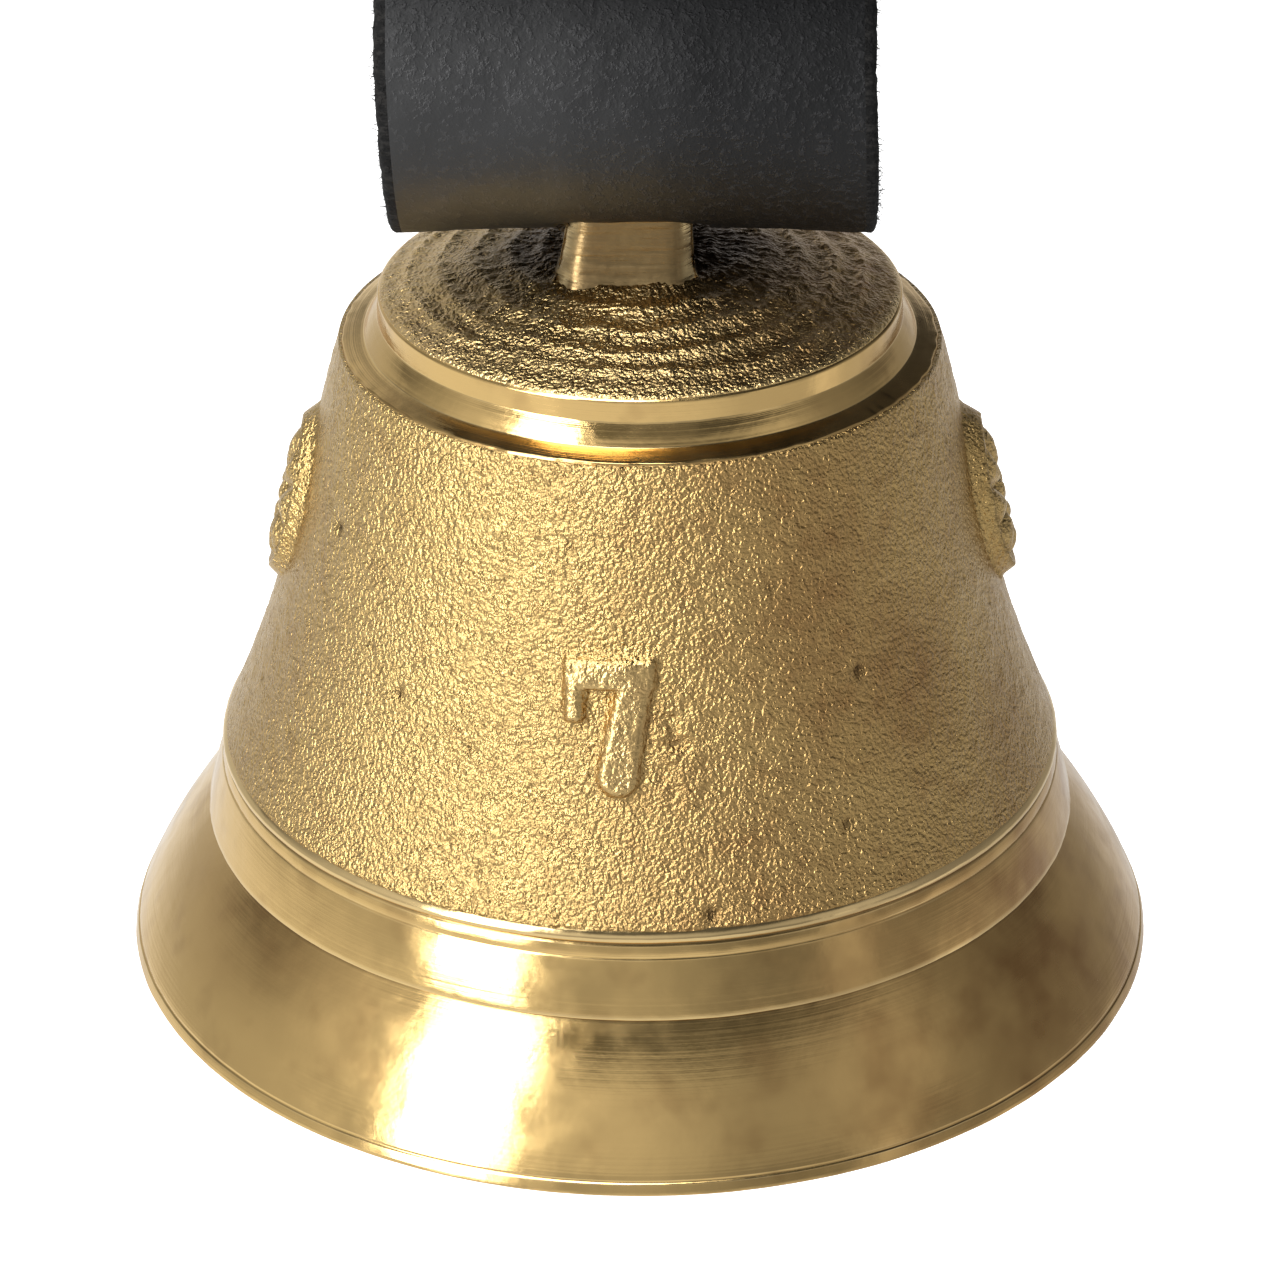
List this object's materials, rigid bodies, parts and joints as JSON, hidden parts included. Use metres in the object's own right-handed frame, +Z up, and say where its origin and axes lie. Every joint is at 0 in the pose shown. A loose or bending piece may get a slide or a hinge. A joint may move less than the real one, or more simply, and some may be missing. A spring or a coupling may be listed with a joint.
{
  "type": "service bell",
  "caption": "Cast bell of tapered form with a swinging clapper inside, hung by its crown loop from a cross pin in a folded leather strap with a roller buckle and keepers.",
  "frame": {"origin": "centre of the bell's mouth, in the plane of its rim", "axes": "+Z up along the bell's axis to the hanging loop, -Y the front with the size numeral and the buckle, X along the cross pin"},
  "size_m": [0.08, 0.08, 0.2049],
  "materials": {
    "cast_brass": "sand-cast skirt and crown, turned lip, flare and shoulder",
    "clapper_steel": "dull drawn wire",
    "clapper_ball_iron": "dull",
    "pin_steel": "zinc plated",
    "strap_leather": "black, fine grain, raw cut edges",
    "keeper_leather": "black, fine grain",
    "rivet_brass": "satin",
    "buckle_brass": "polished"
  },
  "bodies": {
    "hanger": {"strap": "strap_leather", "waist_rivets": "rivet_brass", "waist_burrs": "rivet_brass", "fold_rivets": "rivet_brass", "fold_burrs": "rivet_brass", "fixed_keeper": "keeper_leather", "fixed_keeper_staple": "pin_steel", "buckle_frame": "buckle_brass", "cross_pin": "pin_steel", "split_pins": "pin_steel"},
    "bell": {"bell_casting": "cast_brass", "clapper_staple": "clapper_steel"},
    "link": {"clapper_link": "clapper_steel"},
    "clapper": {"clapper_rod": "clapper_steel", "clapper_ball": "clapper_ball_iron"},
    "tongue": {"buckle_tongue": "buckle_brass"},
    "roller": {"buckle_roller": "buckle_brass"},
    "keeper": {"sliding_keeper": "keeper_leather", "sliding_keeper_staple": "pin_steel"}
  },
  "joints": [
    {"name": "bell_swing", "type": "hinge", "parent": "hanger", "child": "bell", "pos_m": [0, 0, 0.06605], "axis": [1, 0, 0], "range_deg": [-12, 12]},
    {"name": "link_swing", "type": "hinge", "parent": "bell", "child": "link", "pos_m": [0, 0, 0.046], "axis": [1, 0, 0], "range_deg": [-30, 30]},
    {"name": "clapper_swing", "type": "hinge", "parent": "link", "child": "clapper", "pos_m": [0, 0, 0.03745], "axis": [0, 1, 0], "range_deg": [-18, 18]},
    {"name": "tongue_lift", "type": "hinge", "parent": "hanger", "child": "tongue", "pos_m": [0, -0.0134, 0.16646], "axis": [1, 0, 0], "range_deg": [0, 15]},
    {"name": "roller_spin", "type": "hinge", "parent": "hanger", "child": "roller", "pos_m": [0, -0.0217, 0.18446], "axis": [1, 0, 0], "continuous": true},
    {"name": "keeper_slide", "type": "slide", "parent": "hanger", "child": "keeper", "axis": [0, 0, 1], "range_m": [-0.003, 0.003]}
  ]
}
